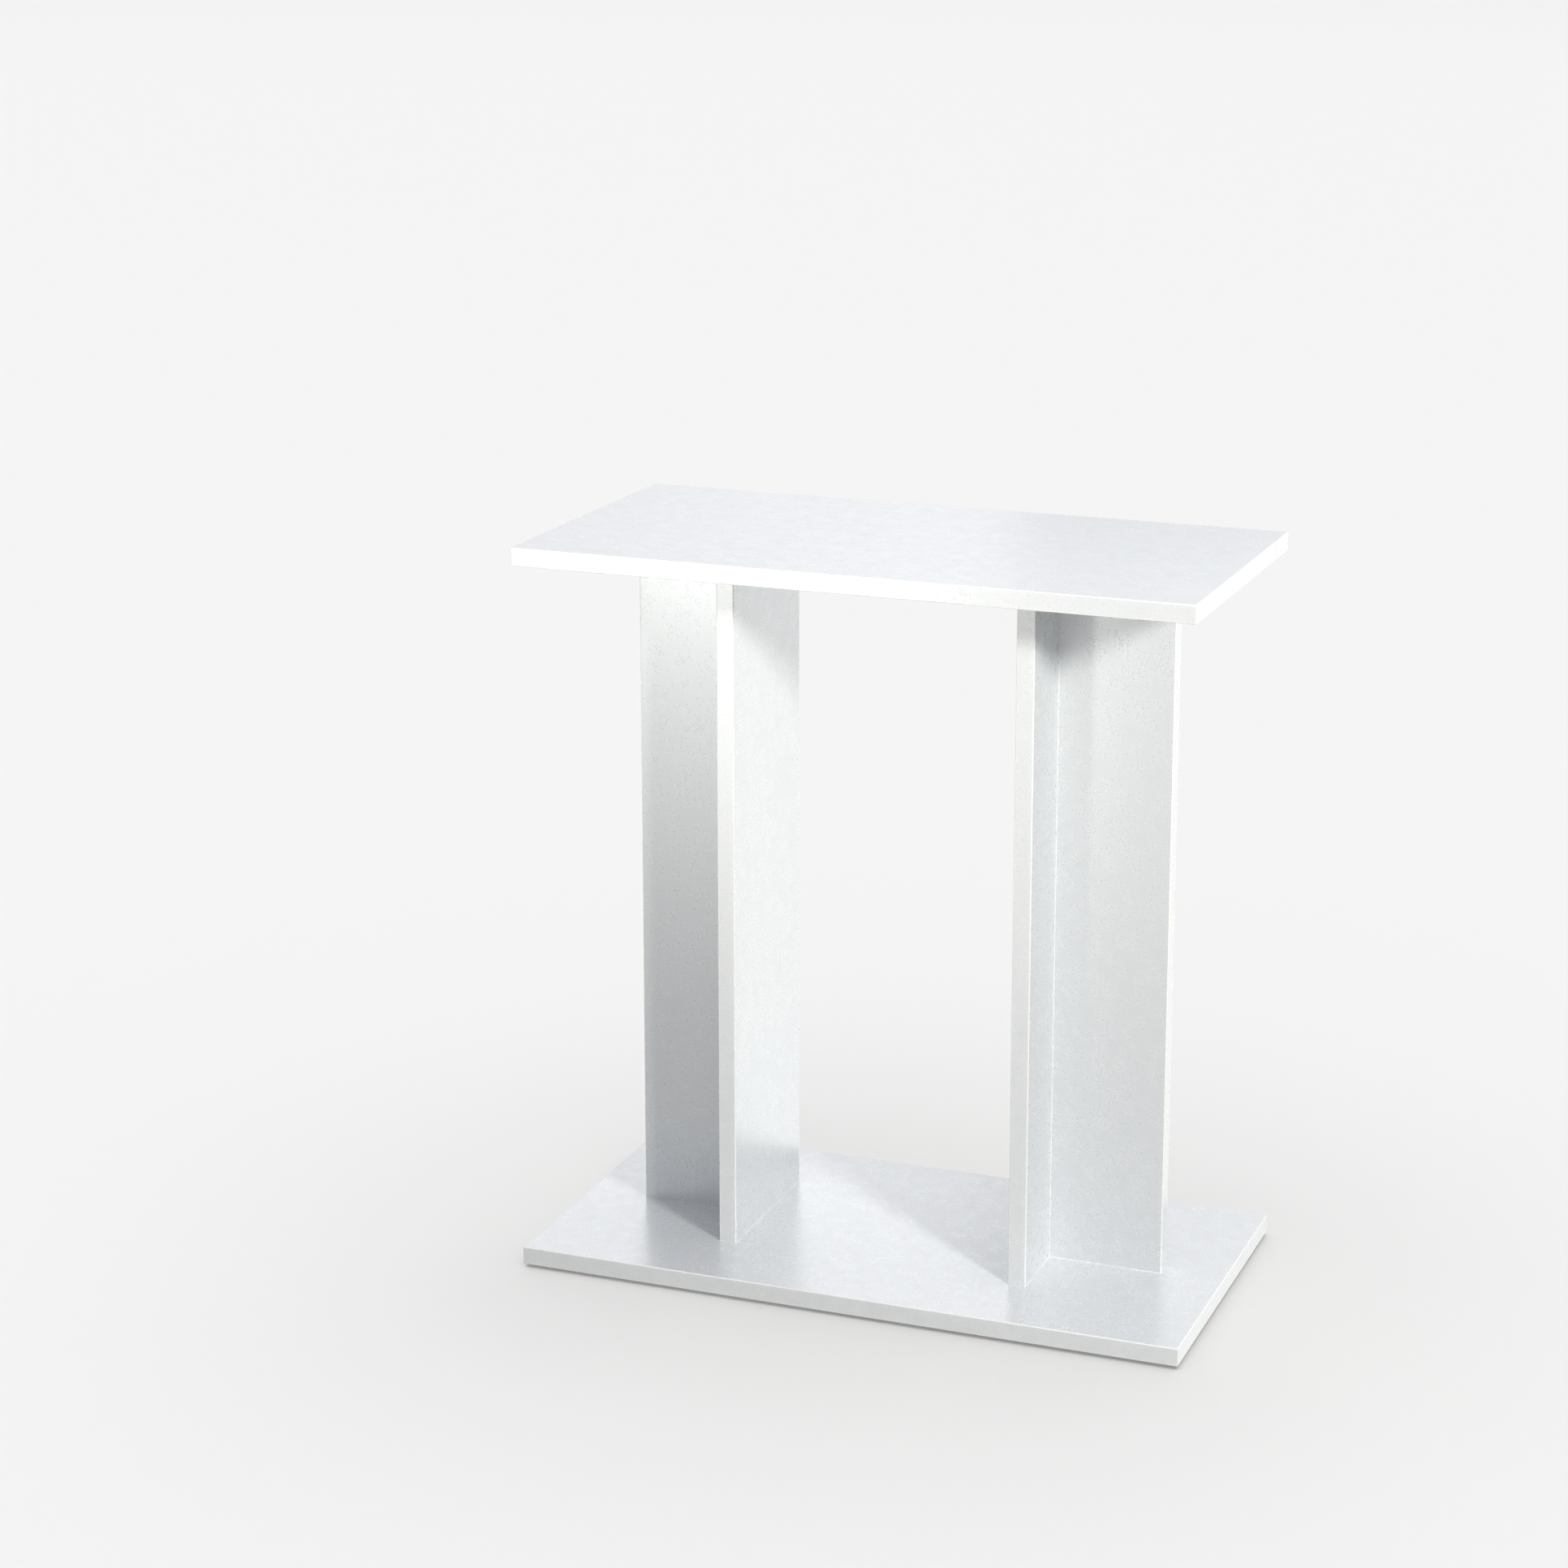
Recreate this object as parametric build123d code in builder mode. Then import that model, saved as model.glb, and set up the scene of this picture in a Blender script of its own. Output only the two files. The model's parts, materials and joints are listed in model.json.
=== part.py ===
from build123d import *

import os
from math import asin, atan2, cos, degrees, radians, sin, sqrt

os.makedirs("parts", exist_ok=True)

# An open aquarium stand in white melamine-faced chipboard. A base board and an equal top board are
# held apart by two pillars. Each pillar is a T in plan: a flange board that runs front to back, and
# a web board that butts the middle of the flange's outer face and points away from the other pillar.
# X runs across the stand, Y from front to back and Z up. The origin is on the floor, under the
# middle of the base. All sizes are in millimetres.

# The stand as a whole
stand_width = 600.0  # along X, over the edge bands
stand_depth = 305.0  # along Y, over the edge bands
stand_height = 650.0  # from the base board's underside to the top board's upper face
pillar_gap = 254.0  # clear width between the two pillars

# The boards and their edge bands
board_thickness = 16.0
flange_depth = 155.0  # along Y, over the edge bands
web_width = 102.0  # along X, from the flange's face to the outside of the edge band
band_thickness = 1.0
band_round = 0.8  # radius of an edge band's trimmed corners

# The floor glides: plastic discs, each held by one nail whose head sits in a counterbore
glide_height = 3.0
glide_diameter = 22.0
glide_round = 1.2
glide_inset = 35.0  # from the base's edges to the centre of a corner glide
glide_past_flange = 25.0  # from the flange's outer face to the glide under that pillar
nail_diameter = 2.0
nail_head_diameter = 6.0
nail_head_thickness = 1.0
nail_head_recess = 0.5  # the nail head's underside above the floor
nail_head_clearance = 0.3  # around the nail head, in its counterbore
nail_bite = 12.0  # length in the base board
nail_point = 2.5

# The cam locks. Each sits in a blind bore in the face of the board whose end meets the seam.
cam_bore_diameter = 15.0
cam_setback = 34.0  # from the seam to the cam's axis
cam_clearance = 0.05  # radial, between a cam and its bore
cam_sink = 0.3  # from the board's face down to the cam's face
cam_foot = 4.3  # from the bolt's axis down to the cam's underside
cam_end_clearance = 0.5  # under the cam
cam_chamfer = 0.4
hook_wall = 2.45  # the cam's wall where it holds the bolt's head
rim_wall = 1.35  # the cam's wall on the far side, where the head goes in
slot_past_head = 2.0  # degrees of slot past the bolt's head when the cam is locked
head_clearance = 0.05  # between the bolt's head and the slot's edges that hold it
head_side_clearance = 0.3
neck_clearance = 0.3
cross_length = 8.0
cross_width = 1.7
cross_depth = 2.0
cross_taper = 8.0  # degrees
arrow_length = 1.5
arrow_width = 2.0
arrow_depth = 0.4
arrow_from_rim = 0.7

# The connecting bolts. Each is screwed into the face of the board across the seam.
thread_diameter = 7.0  # also the bore that the thread cuts for itself
thread_depth = 1.0
thread_length = 11.0
thread_pitch = 2.0
thread_flank = 0.6
thread_crest = 0.3
thread_turns = 4
thread_run_out = 1.7  # plain core between the last turn and the seam
thread_tip_diameter = 2.4
thread_bore_end_clearance = 1.0
collar_diameter = 7.8
collar_length = 1.5
collar_clearance = 0.1  # radial, in the bore of the board that holds the cam
shank_step = 0.5  # the shank's radius under the collar's
shoulder_gap = 0.85  # between the cam and the shank's shoulder
neck_diameter = 4.2
head_diameter = 6.6
head_end_from_axis = 1.2  # the head's end face from the cam's axis
head_slot_width = 0.9
head_slot_length = 4.2
head_slot_depth = 1.2

# The dowels, a tight fit in their holes
dowel_diameter = 8.0
dowel_in_end = 19.0  # length in the board whose end meets the seam
dowel_in_face = 11.0  # length in the board across the seam
dowel_end_clearance = 0.8
dowel_chamfer = 0.8
dowel_flutes = 12
dowel_flute_radius = 0.35

# Where the fittings stand on the boards
flange_fitting_offset = 44.0  # bolt behind, and dowel in front of, the flange's middle
web_bolt_offset = 50.0  # from the flange's outer face, for the bolts at a web's ends
web_dowel_offset = 82.0  # the same, for the dowels
seam_bolt_height = 110.0  # from a web's ends to the bolts in its seam with the flange
seam_dowel_height = 142.0  # the same, for the dowels

# Heights and places that follow
base_top = glide_height + board_thickness
pillar_top = glide_height + stand_height - board_thickness
pillar_height = pillar_top - base_top
flange_middle = pillar_gap / 2 + board_thickness / 2
flange_outer = pillar_gap / 2 + board_thickness
web_outer = flange_outer + web_width
board_levels = {"base": glide_height, "top": pillar_top}
sides = {"left": -1, "right": 1}
up, down, back = (0, 0, 1), (0, 0, -1), (0, 1, 0)

cam_radius = cam_bore_diameter / 2 - cam_clearance
bolt_bore_diameter = collar_diameter + 2 * collar_clearance


def save(piece, name):
    """Labels a finished piece and writes its file."""
    piece.part.label = name
    export_step(piece.part, f"parts/{name}.step")


def drill(plane, diameter, depth):
    """Drills from the plane's origin, against its Z direction."""
    with Locations(plane):
        Hole(diameter / 2, depth)


def flipped(plane):
    return Plane(plane.origin, x_dir=plane.x_dir, z_dir=-plane.z_dir)


def cam_plane(seam):
    """A cam's own plane: its origin on the board's face, Z out of it and X towards the seam."""
    origin = seam.origin + seam.z_dir * cam_setback + seam.x_dir * (board_thickness / 2)
    return Plane(origin, x_dir=-seam.z_dir, z_dir=seam.x_dir)


# Every fitting has a seam plane. Its origin is where the fitting's axis crosses the seam, its Z goes
# into the board whose end is at the seam, and its X goes out of the face that holds the cam.
bolt_seams = {}
dowel_seams = {}
for side, sign in sides.items():
    outwards = (sign, 0, 0)
    flange_x = sign * flange_middle
    web_bolt_x = sign * (flange_outer + web_bolt_offset)
    web_dowel_x = sign * (flange_outer + web_dowel_offset)
    for level, z, inwards in (("base", base_top, up), ("top", pillar_top, down)):
        bolt_seams[f"{side}_flange_{level}"] = Plane(
            (flange_x, flange_fitting_offset, z), x_dir=outwards, z_dir=inwards
        )
        dowel_seams[f"{side}_flange_{level}"] = Plane(
            (flange_x, -flange_fitting_offset, z), x_dir=outwards, z_dir=inwards
        )
        bolt_seams[f"{side}_web_{level}"] = Plane((web_bolt_x, 0, z), x_dir=back, z_dir=inwards)
        dowel_seams[f"{side}_web_{level}"] = Plane((web_dowel_x, 0, z), x_dir=back, z_dir=inwards)
    for level, end, away in (("lower", base_top, 1), ("upper", pillar_top, -1)):
        bolt_seams[f"{side}_web_{level}"] = Plane(
            (sign * flange_outer, 0, end + away * seam_bolt_height), x_dir=back, z_dir=outwards
        )
        dowel_seams[f"{side}_web_{level}"] = Plane(
            (sign * flange_outer, 0, end + away * seam_dowel_height), x_dir=back, z_dir=outwards
        )


def chosen(seams, *words):
    """The seams whose names end in one of the words."""
    return [plane for name, plane in seams.items() if name.endswith(words)]


def drill_faces(*words):
    """The holes in a board's face: threads of bolts and the short ends of dowels."""
    for seam in chosen(bolt_seams, *words):
        drill(seam, thread_diameter, thread_length + thread_bore_end_clearance)
    for seam in chosen(dowel_seams, *words):
        drill(seam, dowel_diameter, dowel_in_face + dowel_end_clearance)


def drill_ends(*words):
    """The holes in a board's ends and edges, and the cam bores that the bolts reach."""
    for seam in chosen(bolt_seams, *words):
        drill(flipped(seam), bolt_bore_diameter, cam_setback)
        drill(cam_plane(seam), cam_bore_diameter, board_thickness / 2 + cam_foot + cam_end_clearance)
    for seam in chosen(dowel_seams, *words):
        drill(flipped(seam), dowel_diameter, dowel_in_end + dowel_end_clearance)


# The floor glides stand near the base's corners and under the middle of each pillar.
glide_x = stand_width / 2 - glide_inset
glide_y = stand_depth / 2 - glide_inset
glide_spots = [(x, y) for x in (-glide_x, glide_x) for y in (-glide_y, glide_y)]
glide_spots += [(sign * (flange_outer + glide_past_flange), 0) for sign in sides.values()]

# The base and the top: equal boards, drilled for the pillars' bolts and dowels
for level, bottom in board_levels.items():
    with BuildPart() as flat_board:
        with BuildSketch(Plane.XY.offset(bottom)):
            Rectangle(stand_width - 2 * band_thickness, stand_depth - 2 * band_thickness)
        extrude(amount=board_thickness)
        drill_faces(f"flange_{level}", f"web_{level}")
        if level == "base":
            for x, y in glide_spots:
                drill(Plane((x, y, bottom), z_dir=down), nail_diameter, nail_bite)
    save(flat_board, f"{level}_board")

    # The short edges are banded first, and the long bands cover their ends.
    for face, sign in (("left", -1), ("right", 1)):
        with BuildPart() as short_band:
            with BuildSketch(Plane.XY.offset(bottom)):
                with Locations((sign * (stand_width - band_thickness) / 2, 0)):
                    Rectangle(band_thickness, stand_depth - 2 * band_thickness)
            extrude(amount=board_thickness)
            outer_edges = short_band.edges().group_by(Axis.X)[-1 if sign > 0 else 0]
            fillet(outer_edges.filter_by(Axis.Y), band_round)
        save(short_band, f"{level}_{face}_band")
    for face, sign in (("front", -1), ("back", 1)):
        with BuildPart() as long_band:
            with BuildSketch(Plane.XY.offset(bottom)):
                with Locations((0, sign * (stand_depth - band_thickness) / 2)):
                    Rectangle(stand_width, band_thickness)
            extrude(amount=board_thickness)
            inner_edges = long_band.edges().group_by(Axis.Y)[0 if sign > 0 else -1]
            fillet(long_band.edges() - inner_edges, band_round)
        save(long_band, f"{level}_{face}_band")

# The pillars: a flange and a web each, with the bands on the edges that show
for side, sign in sides.items():
    with BuildPart() as flange:
        with BuildSketch(Plane.XY.offset(base_top)):
            with Locations((sign * flange_middle, 0)):
                Rectangle(board_thickness, flange_depth - 2 * band_thickness)
        extrude(amount=pillar_height)
        drill_ends(f"{side}_flange_base", f"{side}_flange_top")
        drill_faces(f"{side}_web_lower", f"{side}_web_upper")
    save(flange, f"{side}_flange_board")

    for face, face_sign in (("front", -1), ("back", 1)):
        with BuildPart() as flange_band:
            with BuildSketch(Plane.XY.offset(base_top)):
                with Locations((sign * flange_middle, face_sign * (flange_depth - band_thickness) / 2)):
                    Rectangle(board_thickness, band_thickness)
            extrude(amount=pillar_height)
            outer_edges = flange_band.edges().group_by(Axis.Y)[-1 if face_sign > 0 else 0]
            fillet(outer_edges.filter_by(Axis.Z), band_round)
        save(flange_band, f"{side}_flange_{face}_band")

    with BuildPart() as web:
        with BuildSketch(Plane.XY.offset(base_top)):
            with Locations((sign * (flange_outer + (web_width - band_thickness) / 2), 0)):
                Rectangle(web_width - band_thickness, board_thickness)
        extrude(amount=pillar_height)
        drill_ends(*(f"{side}_web_{level}" for level in ("base", "lower", "upper", "top")))
    save(web, f"{side}_web_board")

    with BuildPart() as web_band:
        with BuildSketch(Plane.XY.offset(base_top)):
            with Locations((sign * (web_outer - band_thickness / 2), 0)):
                Rectangle(band_thickness, board_thickness)
        extrude(amount=pillar_height)
        outer_edges = web_band.edges().group_by(Axis.X)[-1 if sign > 0 else 0]
        fillet(outer_edges.filter_by(Axis.Z), band_round)
    save(web_band, f"{side}_web_band")

# One cam, on its own plane. Its hollow is a circle set off from the cam's axis, so the wall is
# thick where it holds the bolt's head and thin on the far side, where the head goes in through a
# notch. Between the two, a slot lets the bolt's neck through as the cam turns half a turn.
hook_near = cam_radius - hook_wall
hook_far = cam_radius - rim_wall
hollow_radius = (hook_near + hook_far) / 2
hollow_offset = (hook_near - hook_far) / 2
cavity_roof = -board_thickness / 2 + head_diameter / 2 + head_side_clearance
cam_underside = -board_thickness / 2 - cam_foot
neck_slot = neck_diameter + 2 * neck_clearance
head_notch = head_diameter + 2 * head_side_clearance

# The side of the bolt's head passes through the hollow's wall here, so the slot reaches past it.
head_leaves_hollow = hollow_offset + sqrt(hollow_radius**2 - (head_diameter / 2) ** 2)
slot_lead = degrees(atan2(head_diameter / 2, head_leaves_hollow)) + slot_past_head
slot_angles = (radians(slot_lead), radians(180 - slot_lead))

with BuildPart() as cam:
    with BuildSketch(Plane.XY.offset(-cam_sink)):
        Circle(cam_radius)
    extrude(amount=cam_underside + cam_sink)
    chamfer(cam.edges().group_by(Axis.Z)[-1], cam_chamfer)
    with BuildSketch(Plane.XY.offset(cavity_roof)):
        with Locations((hollow_offset, 0)):
            Circle(hollow_radius)
        with Locations((-cam_radius, 0)):
            Rectangle(2 * cam_radius, head_notch)
    extrude(amount=cam_underside - cavity_roof, mode=Mode.SUBTRACT)
    with BuildSketch(Plane.XY.offset((neck_slot - board_thickness) / 2)):
        Circle(cam_bore_diameter)
        with BuildLine():
            Polyline(
                (0, 0),
                *((2 * cam_bore_diameter * cos(a), 2 * cam_bore_diameter * sin(a)) for a in slot_angles),
                close=True,
            )
        make_face(mode=Mode.SUBTRACT)
    extrude(amount=-neck_slot, mode=Mode.SUBTRACT)
    with BuildSketch(Plane.XY.offset(-cam_sink)):
        Rectangle(cross_length, cross_width)
        Rectangle(cross_width, cross_length)
    extrude(amount=-cross_depth, taper=cross_taper, mode=Mode.SUBTRACT)
    with BuildSketch(Plane.XY.offset(-cam_sink)):
        with BuildLine():
            Polyline(
                (arrow_from_rim - cam_radius, 0),
                (arrow_from_rim + arrow_length - cam_radius, arrow_width / 2),
                (arrow_from_rim + arrow_length - cam_radius, -arrow_width / 2),
                close=True,
            )
        make_face()
    extrude(amount=-arrow_depth, mode=Mode.SUBTRACT)

for name, seam in bolt_seams.items():
    with BuildPart() as placed_cam:
        with Locations(cam_plane(seam)):
            add(cam.part)
    save(placed_cam, f"{name}_cam")

# One connecting bolt, with the seam at Z = 0 and its head up. The back of the head is part of a
# ball about the cam's axis, so the edges of the cam's slot slide behind it and hold it.
core_radius = thread_diameter / 2 - thread_depth
shank_radius = collar_diameter / 2 - shank_step
shoulder = cam_setback - cam_radius - shoulder_gap
head_end = cam_setback - head_end_from_axis
ball_radius = sqrt(hook_near**2 + (neck_slot / 2) ** 2) - head_clearance
ball_start = degrees(asin(neck_diameter / 2 / ball_radius))
ball_end = degrees(asin(head_diameter / 2 / ball_radius))
first_turn = -thread_run_out - thread_turns * thread_pitch

with BuildPart() as bolt:
    with BuildSketch(Plane.XZ):
        with BuildLine():
            ball = CenterArc((0, cam_setback), ball_radius, ball_start - 90, ball_end - ball_start)
            thread = [(0, -thread_length), (thread_tip_diameter / 2, -thread_length)]
            for turn in range(thread_turns):
                foot = first_turn + turn * thread_pitch
                thread += [
                    (core_radius, foot),
                    (thread_diameter / 2, foot + thread_flank),
                    (thread_diameter / 2, foot + thread_flank + thread_crest),
                    (core_radius, foot + 2 * thread_flank + thread_crest),
                ]
            Polyline(
                *thread,
                (core_radius, 0),
                (collar_diameter / 2, 0),
                (collar_diameter / 2, collar_length),
                (shank_radius, collar_length),
                (shank_radius, shoulder),
                (neck_diameter / 2, shoulder),
                ball @ 0,
            )
            Polyline(ball @ 1, (head_diameter / 2, head_end), (0, head_end), (0, -thread_length))
        make_face()
    revolve(axis=Axis.Z)
    with BuildSketch(Plane.XY.offset(head_end)):
        Rectangle(head_slot_length, head_slot_width)
        Rectangle(head_slot_width, head_slot_length)
    extrude(amount=-head_slot_depth, mode=Mode.SUBTRACT)

# One fluted dowel, with the seam at Z = 0 and its long end up
dowel_length = dowel_in_end + dowel_in_face
dowel_middle = (dowel_in_end - dowel_in_face) / 2

with BuildPart() as dowel:
    with BuildSketch(Plane.XY.offset(-dowel_in_face)):
        Circle(dowel_diameter / 2)
    extrude(amount=dowel_length)
    chamfer(dowel.edges().group_by(Axis.Z)[0] + dowel.edges().group_by(Axis.Z)[-1], dowel_chamfer)
    with Locations((0, 0, dowel_middle)):
        with PolarLocations(dowel_diameter / 2, dowel_flutes):
            Cylinder(dowel_flute_radius, dowel_length, mode=Mode.SUBTRACT)

# The bolts and the dowels of one kind of seam are alike, so each kind is one group.
for group, words in (("base", ("_base",)), ("top", ("_top",)), ("pillar", ("_lower", "_upper"))):
    with BuildPart() as bolts:
        with Locations(*chosen(bolt_seams, *words)):
            add(bolt.part)
    save(bolts, f"{group}_connecting_bolts")
    with BuildPart() as dowels:
        with Locations(*chosen(dowel_seams, *words)):
            add(dowel.part)
    save(dowels, f"{group}_dowels")

# One floor glide and its nail, standing on the floor
counterbore_top = nail_head_recess + nail_head_thickness
counterbore_radius = nail_head_diameter / 2 + nail_head_clearance
nail_radius = nail_diameter / 2
nail_tip = glide_height + nail_bite

with BuildPart() as glide:
    with BuildSketch(Plane.XZ):
        with BuildLine():
            rim = CenterArc((glide_diameter / 2 - glide_round, glide_round), glide_round, -90, 90)
            Polyline(
                rim @ 1,
                (glide_diameter / 2, glide_height),
                (nail_radius, glide_height),
                (nail_radius, counterbore_top),
                (counterbore_radius, counterbore_top),
                (counterbore_radius, 0),
                rim @ 0,
            )
        make_face()
    revolve(axis=Axis.Z)

with BuildPart() as nail:
    with BuildSketch(Plane.XZ):
        with BuildLine():
            Polyline(
                (0, nail_head_recess),
                (nail_head_diameter / 2, nail_head_recess),
                (nail_head_diameter / 2, counterbore_top),
                (nail_radius, counterbore_top),
                (nail_radius, nail_tip - nail_point),
                (0, nail_tip),
                close=True,
            )
        make_face()
    revolve(axis=Axis.Z)

with BuildPart() as glides:
    with Locations(*glide_spots):
        add(glide.part)
save(glides, "floor_glides")

with BuildPart() as nails:
    with Locations(*glide_spots):
        add(nail.part)
save(nails, "glide_nails")
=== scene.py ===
import json
from math import cos, radians, sin

import bpy
from mathutils import Matrix, Vector


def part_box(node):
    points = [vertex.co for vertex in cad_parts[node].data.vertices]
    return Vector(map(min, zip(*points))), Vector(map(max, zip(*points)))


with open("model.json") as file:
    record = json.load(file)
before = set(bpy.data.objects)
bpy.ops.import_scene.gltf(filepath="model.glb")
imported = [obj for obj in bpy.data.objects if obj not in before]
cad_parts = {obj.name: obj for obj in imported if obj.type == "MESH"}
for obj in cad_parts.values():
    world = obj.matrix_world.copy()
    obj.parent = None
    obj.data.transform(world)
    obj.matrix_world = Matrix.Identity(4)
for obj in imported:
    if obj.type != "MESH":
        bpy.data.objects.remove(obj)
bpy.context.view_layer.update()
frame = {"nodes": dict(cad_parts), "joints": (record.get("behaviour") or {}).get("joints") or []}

nodes = frame["nodes"]


# ---------------------------------------------------------------------------------------------
# The base and the top: two equal chipboard panels faced on both sides with a pearly white melamine
# foil. They are cut to size, edge-banded all round, and drilled from one face for the pillars'
# bolts and dowels.
# ---------------------------------------------------------------------------------------------
X, Y, Z = 0, 1, 2
MM = 0.001
foil_thickness = 0.25 * MM
glue_line = 0.12 * MM
chip_widths = (0.2 * MM, 0.9 * MM)


class Shader:
    """A new material's node tree, with short ways to add and join its nodes."""

    def __init__(self, name, **sockets):
        self.material = bpy.data.materials.new(name)
        self.material.use_nodes = True
        self.tree = self.material.node_tree
        self.bsdf = self.tree.nodes["Principled BSDF"]
        for socket, value in sockets.items():
            self.bsdf.inputs[socket.replace("_", " ")].default_value = value
        self.place = self.node("TexCoord").outputs["Object"]

    def node(self, kind, **settings):
        made = self.tree.nodes.new("ShaderNode" + kind)
        for setting, value in settings.items():
            setattr(made, setting, value)
        return made

    def put(self, value, socket):
        """Gives a socket a value, or joins another node's output to it."""
        if isinstance(value, bpy.types.NodeSocket):
            self.tree.links.new(value, socket)
        elif value is not None:
            socket.default_value = value

    def maths(self, operation, *values):
        made = self.node("Math", operation=operation)
        for socket, value in zip(made.inputs, values):
            self.put(value, socket)
        return made.outputs[0]

    def coordinates(self, vector):
        """A vector's x, y and z."""
        made = self.node("SeparateXYZ")
        self.put(vector, made.inputs[0])
        return made.outputs

    def mapped(self, centre=(0, 0, 0), scale=(1, 1, 1)):
        """The place on the stand, measured from a centre and squeezed along the axes."""
        made = self.node("Mapping", vector_type="TEXTURE")
        self.put(self.place, made.inputs["Vector"])
        made.inputs["Location"].default_value = centre
        made.inputs["Scale"].default_value = scale
        return made.outputs[0]

    def noise(self, vector, size, detail=2.0, roughness=0.5):
        """Noise whose blobs are about as large as size, in metres, before the mapping's scale."""
        made = self.node("TexNoise")
        self.put(vector, made.inputs["Vector"])
        made.inputs["Scale"].default_value = 1 / size
        made.inputs["Detail"].default_value = detail
        made.inputs["Roughness"].default_value = roughness
        return made.outputs[0]

    def flakes(self, vector, size):
        """Cells of about this size: the distance from each cell's middle, and a colour for each cell."""
        made = self.node("TexVoronoi")
        self.put(vector, made.inputs["Vector"])
        made.inputs["Scale"].default_value = 1 / size
        return made.outputs["Distance"], made.outputs["Color"]

    def remap(self, value, low, high, new_low=0.0, new_high=1.0):
        """Takes low..high to new_low..new_high, held at both ends."""
        made = self.node("MapRange")
        for socket, number in zip(made.inputs, (value, low, high, new_low, new_high)):
            self.put(number, socket)
        return made.outputs[0]

    def ramp(self, value, *stops):
        """A colour that runs through the stops, each a position and a colour."""
        made = self.node("ValToRGB")
        elements = made.color_ramp.elements
        while len(elements) < len(stops):
            elements.new(1.0)
        for element, (position, colour) in zip(elements, stops):
            element.position, element.color = position, (*colour, 1.0)
        self.put(value, made.inputs[0])
        return made.outputs[0]

    def mix(self, share, first, second, blend="MIX"):
        made = self.node("Mix", data_type="RGBA", blend_type=blend)
        sockets = made.inputs[0], made.inputs[6], made.inputs[7]
        for socket, value in zip(sockets, (share, first, second)):
            if isinstance(value, tuple) and len(value) == 3:
                value = (*value, 1.0)
            self.put(value, socket)
        return made.outputs[2]

    def bump(self, height, depth, strength, under=None):
        """Relief of this depth, laid over the relief under it if there is one."""
        made = self.node("Bump")
        made.inputs["Strength"].default_value = strength
        made.inputs["Distance"].default_value = depth
        self.put(height, made.inputs["Height"])
        if under is not None:
            self.put(under, made.inputs["Normal"])
        return made.outputs[0]

    def finish(self, colour=None, roughness=None, normal=None, metallic=None):
        for socket, value in (("Base Color", colour), ("Roughness", roughness),
                              ("Normal", normal), ("Metallic", metallic)):
            self.put(value, self.bsdf.inputs[socket])
        return self.material


def paint(node, material):
    """Gives a piece of the frame its finish."""
    for slot in nodes[node].material_slots:
        slot.material = material


foil_white = (0.812, 0.828, 0.843)
foil_shade = (0.77, 0.786, 0.804)
foil_metallic = 0.35
paper_white = (0.93, 0.93, 0.92)
glue_amber = (0.52, 0.50, 0.44)


def stretched(axis, times):
    """Scales for a pattern that is drawn out or squashed along one axis."""
    return [times if i == axis else 1.0 for i in (X, Y, Z)]


def foil(shader, along, white=foil_white, shade=foil_shade, painted_glint_from=0.70):
    """The foil's colour, roughness and relief: a fine pearl speckle with sparse pale specks painted in
    as highlights, soft clouds, and faint streaks that run along one axis."""
    streaks = shader.noise(shader.mapped(scale=stretched(along, 7.0)), 4 * MM, detail=3.0)
    clouds = shader.noise(shader.place, 11 * MM, detail=4.0, roughness=0.6)
    pearl = shader.noise(shader.place, 1.8 * MM, detail=4.0, roughness=0.75)
    tone = shader.maths("MULTIPLY", pearl, 0.40)
    for part, share in ((clouds, 0.48), (streaks, 0.12)):
        tone = shader.maths("ADD", tone, shader.maths("MULTIPLY", part, share))
    darkest, palest = 0.36, 0.62
    colour = shader.ramp(tone, (darkest, shade), (palest, white))
    # Painted highlights: sparse pale specks mixed into the colour
    painted_glint_noise = shader.noise(shader.place, 0.8 * MM, detail=0.0)
    painted_glint = shader.remap(painted_glint_noise, painted_glint_from, painted_glint_from + 0.08, 0.0, 0.55)
    colour = shader.mix(painted_glint, colour, (0.92, 0.92, 0.92))
    roughness = shader.remap(tone, darkest, palest, 0.31, 0.26)
    relief = shader.bump(shader.noise(shader.place, 1.6 * MM, detail=2.0), 0.03 * MM, strength=0.2)
    relief = shader.bump(pearl, 0.012 * MM, strength=0.25, under=relief)
    return colour, roughness, relief


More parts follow.
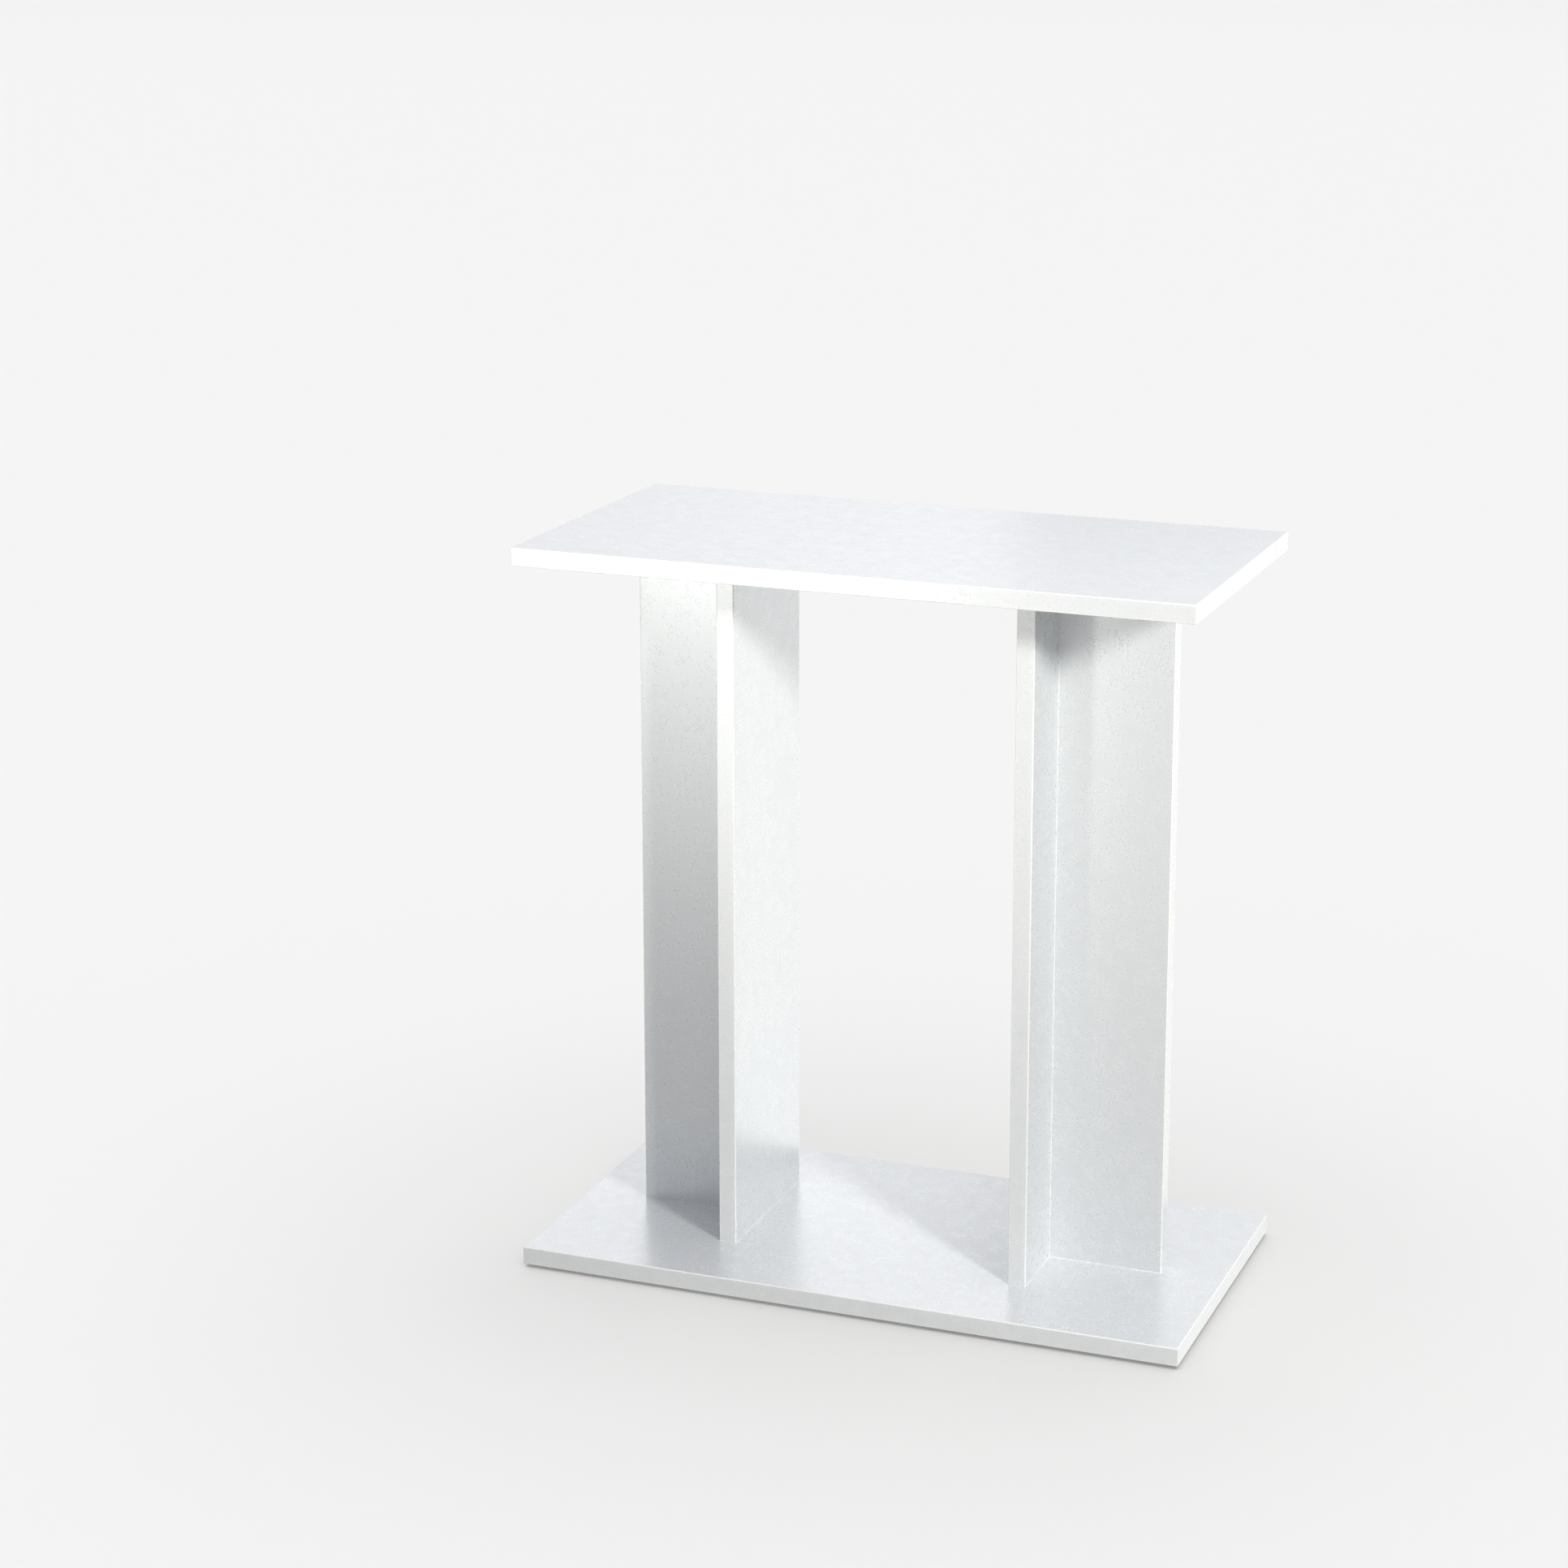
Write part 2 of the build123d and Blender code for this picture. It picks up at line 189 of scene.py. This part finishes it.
def board_material(name, thickness_axis, grain_axis, banded=(), cut=()):
    """Foil on a board's two faces, and bare chipboard in its holes and on its cut ends. banded and cut
    list the board's edges as an axis and a direction, where direction 0 means both."""
    low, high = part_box(name)
    middle, half = (low + high) / 2, (high - low) / 2
    shader = Shader(name + "_foil")
    colour, roughness, relief = foil(shader, grain_axis)
    place = shader.coordinates(shader.mapped(centre=middle))
    depth = shader.maths("ABSOLUTE", place[thickness_axis])

    def inwards(axis, direction):
        """How far a point lies inside the board's edge."""
        reach = (shader.maths("ABSOLUTE", place[axis]) if direction == 0
                 else shader.maths("MULTIPLY", place[axis], direction))
        return shader.maths("SUBTRACT", half[axis], reach)

    # The hairline of hot-melt glue beside an edge band, and the foil's paper core showing white where
    # the saw has chipped a cut edge
    ragged = shader.noise(shader.place, 1.6 * MM, detail=3.0, roughness=0.7)
    chips = shader.remap(ragged, 0.35, 0.65, *chip_widths)
    for axis, direction in banded:
        glue = shader.maths("LESS_THAN", inwards(axis, direction), glue_line)
        colour = shader.mix(glue, colour, glue_amber)
    paper = 0.0
    for axis, direction in cut:
        chipped = shader.maths("LESS_THAN", inwards(axis, direction), chips)
        paper = shader.maths("MAXIMUM", paper, chipped)
    colour = shader.mix(paper, colour, paper_white)

    # Pressed flakes: coarse in the middle of the board and fine under the faces
    lying = shader.mapped(scale=stretched(thickness_axis, 0.35))
    coarse, coarse_tint = shader.flakes(lying, 4.5 * MM)
    fine, fine_tint = shader.flakes(lying, 1.3 * MM)
    layer = shader.remap(depth, half[thickness_axis] * 0.45, half[thickness_axis] * 0.7)
    tint = shader.mix(layer, coarse_tint, fine_tint)
    wood = shader.ramp(shader.coordinates(tint)[0], (0.0, (0.30, 0.19, 0.10)),
                       (0.5, (0.52, 0.37, 0.21)), (1.0, (0.70, 0.55, 0.36)))
    crumbs = shader.mix(layer, coarse, fine)
    wood = shader.mix(1.0, wood, shader.remap(crumbs, 0.25, 0.75, 1.0, 0.55), "MULTIPLY")

    face = shader.maths("GREATER_THAN", depth, half[thickness_axis] - foil_thickness)
    rough = shader.bump(crumbs, 0.25 * MM, strength=0.6)
    pearly = shader.maths("MULTIPLY", face, shader.remap(paper, 0.0, 1.0, foil_metallic, 0.0))
    return shader.finish(
        colour=shader.mix(face, wood, colour),
        roughness=shader.remap(face, 0.0, 1.0, 0.85, roughness),
        metallic=pearly,
        normal=shader.mix(face, rough, relief),
    )


for level in ("base", "top"):
    paint(f"{level}_board", board_material(f"{level}_board", Z, X, banded=((X, 0), (Y, 0))))


# ---------------------------------------------------------------------------------------------
# The pillars: each is a flange board that runs front to back, and a web board butted to the middle
# of its outer face. Both are cut from the same foil-faced chipboard, with the foil's streaks upright.
# ---------------------------------------------------------------------------------------------
for side, sign in (("left", -1), ("right", 1)):
    flange, web = f"{side}_flange_board", f"{side}_web_board"
    paint(flange, board_material(flange, X, Z, banded=((Y, 0),), cut=((Z, 0),)))
    paint(web, board_material(web, Y, Z, banded=((X, sign),), cut=((X, -sign), (Z, 0))))


# ---------------------------------------------------------------------------------------------
# The edge bands: strips of 1 mm ABS in the foil's colour, glued on hot by machine. Their corners are
# trimmed to a small radius with a cutter and left glossier by buffing; they are also painted paler there
# as a highlight.
# ---------------------------------------------------------------------------------------------
band_white = (0.885, 0.893, 0.895)
band_shade = (0.80, 0.817, 0.83)
painted_highlight_white = (0.95, 0.95, 0.94)


def band_material(name, length_axis):
    """Flecked white plastic (the flecks are painted highlights) with faint cutter marks, and glossier
    corners that are painted paler as a highlight.
    """
    low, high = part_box(name)
    middle, half = (low + high) / 2, (high - low) / 2
    shader = Shader(name + "_abs")
    colour, roughness, relief = foil(shader, length_axis, band_white, band_shade, painted_glint_from=0.63)

    # Cutter marks across the strip, close together and very shallow
    place = shader.coordinates(shader.mapped(centre=middle))
    waves = shader.node("TexWave", wave_type="BANDS", bands_direction="XYZ"[length_axis])
    waves.inputs["Scale"].default_value = 60.0
    waves.inputs["Distortion"].default_value = 1.5
    waves.inputs["Detail"].default_value = 2.0
    shader.put(shader.place, waves.inputs["Vector"])
    relief = shader.bump(waves.outputs["Fac"], 0.01 * MM, strength=0.25, under=relief)

    # The corners: left glossier by buffing, and painted paler there as a highlight
    across = [axis for axis in (X, Y, Z) if axis != length_axis]
    wide = max(across, key=lambda axis: half[axis])
    reach = shader.maths("ABSOLUTE", place[wide])
    buffed_highlight = shader.remap(reach, half[wide] - 1.4 * MM, half[wide] - 0.9 * MM)
    colour = shader.mix(buffed_highlight, colour, painted_highlight_white)
    roughness = shader.maths("MULTIPLY", roughness, shader.remap(buffed_highlight, 0.0, 1.0, 1.0, 0.6))
    shader.put(shader.remap(buffed_highlight, 0.0, 1.0, 0.5, 1.0), shader.bsdf.inputs["Specular IOR Level"])
    return shader.finish(colour=colour, roughness=roughness, normal=relief,
                         metallic=shader.remap(buffed_highlight, 0.0, 1.0, 0.15, 0.0))


for level in ("base", "top"):
    for face, axis in (("front", X), ("back", X), ("left", Y), ("right", Y)):
        name = f"{level}_{face}_band"
        paint(name, band_material(name, axis))
for side in ("left", "right"):
    for name in (f"{side}_flange_front_band", f"{side}_flange_back_band", f"{side}_web_band"):
        paint(name, band_material(name, Z))


# ---------------------------------------------------------------------------------------------
# The connecting bolts and the glides' nails: turned or drawn steel, zinc-plated and passivated to a
# faint blue. The bolts are screwed into the boards by their threads.
# ---------------------------------------------------------------------------------------------
def plated_material(name):
    shader = Shader(name, Metallic=1.0)
    patches = shader.noise(shader.place, 2.5 * MM, detail=3.0)
    grain = shader.noise(shader.place, 0.25 * MM, detail=2.0)
    return shader.finish(
        colour=shader.ramp(patches, (0.35, (0.60, 0.63, 0.67)), (0.65, (0.74, 0.74, 0.72))),
        roughness=shader.remap(grain, 0.3, 0.7, 0.24, 0.42),
        normal=shader.bump(grain, 0.01 * MM, strength=0.4),
    )


plated_steel = plated_material("zinc_plated_steel")
for name in ("base_connecting_bolts", "top_connecting_bolts", "pillar_connecting_bolts", "glide_nails"):
    paint(name, plated_steel)


# ---------------------------------------------------------------------------------------------
# The dowels: fluted beech, 8 by 30 mm, tapped and glued into the boards' ends. Beech is fine-grained
# and pinkish, with short dark rays along its length.
# ---------------------------------------------------------------------------------------------
def beech_material(name, length_axis):
    shader = Shader(name)
    fibres = shader.mapped(scale=stretched(length_axis, 14.0))
    grain = shader.noise(fibres, 0.8 * MM, detail=4.0, roughness=0.65)
    rays = shader.noise(shader.mapped(scale=stretched(length_axis, 5.0)), 0.35 * MM, detail=1.0)
    colour = shader.ramp(grain, (0.3, (0.47, 0.29, 0.17)), (0.5, (0.62, 0.42, 0.27)),
                         (0.7, (0.72, 0.53, 0.36)))
    colour = shader.mix(shader.remap(rays, 0.62, 0.72), colour, (0.33, 0.18, 0.10))
    return shader.finish(colour=colour, roughness=shader.remap(grain, 0.3, 0.7, 0.62, 0.5),
                         normal=shader.bump(grain, 0.06 * MM, strength=0.5))


paint("base_dowels", beech_material("beech_upright_low", Z))
paint("top_dowels", beech_material("beech_upright_high", Z))
paint("pillar_dowels", beech_material("beech_level", X))


# ---------------------------------------------------------------------------------------------
# The cam locks: die-cast zinc alloy, tumbled smooth. Each turns half a turn in its bore to draw a
# bolt's head in. Its face has a cross recess for the screwdriver, and an arrow at the slot for the head.
# ---------------------------------------------------------------------------------------------
def cam_material(name, axis, outwards):
    """Cast zinc with painted shade that darkens it below the face and in the recesses, rubbed bright on
    the face by the screwdriver. outwards is the sign of the way that the face looks along the axis."""
    low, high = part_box(name)
    centre = (low + high) / 2
    shader = Shader(name + "_zinc", Metallic=1.0)
    place = shader.coordinates(shader.mapped(centre=centre))
    across, along = [place[i] for i in (X, Y, Z) if i != axis]
    squares = shader.maths("POWER", across, 2.0), shader.maths("POWER", along, 2.0)
    radius = shader.maths("SQRT", shader.maths("ADD", *squares))
    face = high[axis] if outwards > 0 else low[axis]
    below = shader.maths("ABSOLUTE", shader.maths("SUBTRACT", place[axis], face - centre[axis]))
    cast = shader.noise(shader.place, 0.5 * MM, detail=4.0, roughness=0.6)
    stains = shader.noise(shader.place, 4 * MM, detail=3.0)
    colour = shader.ramp(stains, (0.35, (0.50, 0.51, 0.53)), (0.65, (0.64, 0.65, 0.66)))
    # Painted shade: the colour darkens with depth below the face, into the recesses
    recess_shade = shader.remap(below, 0.05 * MM, 1.6 * MM)
    colour = shader.mix(recess_shade, colour, (0.30, 0.31, 0.33))
    rubbed = shader.maths("MULTIPLY", shader.remap(radius, 5.5 * MM, 2.5 * MM),
                          shader.remap(below, 0.1 * MM, 0.0))
    roughness = shader.maths("SUBTRACT", shader.remap(cast, 0.3, 0.7, 0.36, 0.52),
                           shader.maths("MULTIPLY", rubbed, 0.14))
    relief = shader.bump(cast, 0.03 * MM, strength=0.5)
    return shader.finish(colour=colour, roughness=roughness, normal=relief)


for joint in frame["joints"]:
    axis = max((X, Y, Z), key=lambda i: abs(joint["axis"][i]))
    paint(joint["child"], cam_material(joint["child"], axis, joint["axis"][axis]))


# ---------------------------------------------------------------------------------------------
# The floor glides: moulded polyethylene discs nailed under the base. They are a waxy pale grey, and
# keep the board's underside off a wet floor.
# ---------------------------------------------------------------------------------------------
waxy_shader = Shader("polyethylene", Specular_IOR_Level=0.45)
clouded = waxy_shader.noise(waxy_shader.place, 6 * MM, detail=3.0)
pitted = waxy_shader.noise(waxy_shader.place, 0.6 * MM, detail=2.0)
paint("floor_glides", waxy_shader.finish(
    colour=waxy_shader.ramp(clouded, (0.35, (0.50, 0.51, 0.51)), (0.65, (0.58, 0.58, 0.57))),
    roughness=waxy_shader.remap(pitted, 0.3, 0.7, 0.42, 0.58),
    normal=waxy_shader.bump(pitted, 0.03 * MM, strength=0.4),
))


# ---------------------------------------------------------------------------------------------
# The room: a plain pale floor that curves up into a round wall far away, soft light from large panels,
# and the camera in front of the stand, a little to its right and above the top board.
# ---------------------------------------------------------------------------------------------
flat_radius = 14.0
bend_radius = 6.0
wall_height = 30.0
segments = 96
bend_steps = 12


def floor_corners():
    """The middle of the floor, and then rings from the end of its flat up to the top of the wall."""
    rings = []
    for step in range(bend_steps + 1):
        angle = radians(90 * step / bend_steps)
        rings.append((flat_radius + bend_radius * sin(angle), bend_radius * (1 - cos(angle))))
    rings.append((flat_radius + bend_radius, wall_height))
    points = [(0, 0, 0)]
    for radius, height in rings:
        for step in range(segments):
            angle = radians(360 * step / segments)
            points.append((radius * cos(angle), radius * sin(angle), height))
    return points


def floor_faces():
    """Triangles round the middle, and four-sided faces between each ring and the next."""
    faces = []
    for step in range(segments):
        after = (step + 1) % segments
        faces.append((0, 1 + step, 1 + after))
        for ring in range(bend_steps + 1):
            low, high = 1 + ring * segments, 1 + (ring + 1) * segments
            faces.append((low + step, high + step, high + after, low + after))
    return faces


floor_mesh = bpy.data.meshes.new("floor")
floor_mesh.from_pydata(floor_corners(), [], floor_faces())
floor_mesh.shade_smooth()
floor = bpy.data.objects.new("floor", floor_mesh)
bpy.context.scene.collection.objects.link(floor)
pale = Shader("pale_floor", Base_Color=(0.80, 0.79, 0.76, 1), Roughness=0.9, Specular_IOR_Level=0.0)
pale.bsdf.inputs["Emission Color"].default_value = (1.0, 1.0, 1.0, 1)
height = pale.coordinates(pale.place)[2]
pale.put(pale.remap(height, 0.0, bend_radius, 0.0, 0.6), pale.bsdf.inputs["Emission Strength"])
floor_mesh.materials.append(pale.material)

# Only the camera sees the floor. What a floor would give back to the stand is in the room's light.
floor.visible_diffuse = False
floor.visible_glossy = False
floor.visible_shadow = False

# The room's own light: a belt of bright wall behind the stand and a dim one in front, a soft ceiling,
# and the floor's light from below. Upwards it is a little bluer.
world = bpy.data.worlds.new("studio")
bpy.context.scene.world = world
world.use_nodes = True
room = world.node_tree


def room_maths(operation, *values):
    """A maths node in the room's own node tree."""
    made = room.nodes.new("ShaderNodeMath")
    made.operation = operation
    for socket, value in zip(made.inputs, values):
        if isinstance(value, bpy.types.NodeSocket):
            room.links.new(value, socket)
        else:
            socket.default_value = value
    return made.outputs[0]


looking = room.nodes.new("ShaderNodeSeparateXYZ")
room.links.new(room.nodes.new("ShaderNodeTexCoord").outputs["Generated"], looking.inputs[0])
across, depth, up = looking.outputs
to_back = room_maths("MAXIMUM", depth, 0.0)
to_front = room_maths("MAXIMUM", room_maths("MULTIPLY", depth, -1.0), 0.0)
above = room_maths("GREATER_THAN", up, 0.0)
below = room_maths("SUBTRACT", 1.0, above)
belt_middle, belt_half_width = 0.31, 0.22
off_belt = room_maths("ABSOLUTE", room_maths("SUBTRACT", up, belt_middle))
belt = room_maths("SUBTRACT", 1.0, room_maths("DIVIDE", off_belt, belt_half_width))
belt = room_maths("MULTIPLY", room_maths("SMOOTH_MAX", belt, 0.0, 0.1), above)
back_wall = room_maths("MULTIPLY", belt, room_maths("POWER", to_back, 3.0))
front_wall = room_maths("MULTIPLY", belt, room_maths("POWER", to_front, 3.0))
ceiling = room_maths("POWER", room_maths("MULTIPLY", up, above), 2.0)
back_floor = room_maths("MULTIPLY", to_back, below)
front_floor = room_maths("MULTIPLY", to_front, below)
light = room_maths("MULTIPLY", back_wall, 2.3)
for part, strength in ((front_wall, 0.6), (ceiling, 1.1), (back_floor, 1.5), (front_floor, 0.72)):
    light = room_maths("ADD", light, room_maths("MULTIPLY", part, strength))
room.links.new(light, room.nodes["Background"].inputs["Strength"])
tint = room.nodes.new("ShaderNodeMix")
tint.data_type = "RGBA"
tint.inputs[6].default_value = (0.99, 1.0, 0.98, 1)
tint.inputs[7].default_value = (0.98, 0.99, 1.12, 1)
room.links.new(ceiling, tint.inputs[0])
room.links.new(tint.outputs[2], room.nodes["Background"].inputs["Color"])

# The lamps light the stand but not the floor, which has a very soft lamp of its own straight overhead
floor_only = bpy.data.collections.new("floor_only")
all_but_floor = bpy.data.collections.new("all_but_floor")
for group in (floor_only, all_but_floor):
    group.objects.link(floor)
all_but_floor.collection_objects[0].light_linking.link_state = "EXCLUDE"


lamp_distance = 2.4
aim_height = 0.33


def hang(lamp, matrix, receivers=all_but_floor):
    lamp.matrix_world = matrix
    lamp.visible_camera = False
    lamp.light_linking.receiver_collection = receivers
    bpy.context.scene.collection.objects.link(lamp)


def softbox(name, azimuth, elevation, size, watts, colour=(1.0, 1.0, 1.0)):
    """A square panel that faces the stand's middle. Azimuth 0 is in front and 90 is on the right."""
    data = bpy.data.lights.new(name, "AREA")
    data.size = size
    data.energy = watts
    data.color = colour
    turn = Matrix.Rotation(radians(azimuth), 4, "Z") @ Matrix.Rotation(radians(90 - elevation), 4, "X")
    hang(bpy.data.objects.new(name, data),
         Matrix.Translation((0, 0, aim_height)) @ turn @ Matrix.Translation((0, 0, lamp_distance)))


def snoot(name, place, target, cone, watts, colour=(1.0, 1.0, 1.0)):
    """A narrow soft-edged lamp, hung below the top board's level so that the top doesn't mirror it."""
    data = bpy.data.lights.new(name, "SPOT")
    data.spot_size = radians(cone)
    data.spot_blend = 1.0
    data.shadow_soft_size = 0.2
    data.energy = watts
    data.color = colour
    turn = (Vector(place) - Vector(target)).to_track_quat("Z", "Y").to_matrix().to_4x4()
    hang(bpy.data.objects.new(name, data), Matrix.Translation(place) @ turn)


softbox("key", 52, 26, 0.25, 40, (1.0, 1.0, 0.96))
softbox("back_left", -150, 10, 1.2, 2)
snoot("left_pillar", (-0.9, -2.2, 0.64), (-0.19, 0, 0.62), 22, 90, (1.0, 1.0, 0.95))
snoot("right_pillar", (0.5, -2.4, 0.64), (0.14, 0, 0.5), 22, 20, (1.0, 0.95, 0.90))

overhead_data = bpy.data.lights.new("overhead", "SUN")
overhead_data.angle = radians(120)
overhead_data.energy = 1.7
overhead = bpy.data.objects.new("overhead", overhead_data)
hang(overhead, Matrix.Translation((0, 0, 3)), floor_only)

camera_data = bpy.data.cameras.new("camera")
camera_data.sensor_width = 36.0
camera_data.lens = 81.72
camera_data.shift_x = -0.059
camera_data.shift_y = -0.117
camera_data.clip_end = 200.0
camera = bpy.data.objects.new("camera", camera_data)
camera.matrix_world = (Matrix.Translation((1.0021, -2.8157, 1.2837))
                       @ Matrix.Rotation(radians(20.0455), 4, "Z")
                       @ Matrix.Rotation(radians(77.1003), 4, "X")
                       @ Matrix.Rotation(radians(0.2814), 4, "Z"))
bpy.context.scene.collection.objects.link(camera)
bpy.context.scene.camera = camera
bpy.context.scene.view_settings.view_transform = "Standard"

bpy.context.view_layer.update()
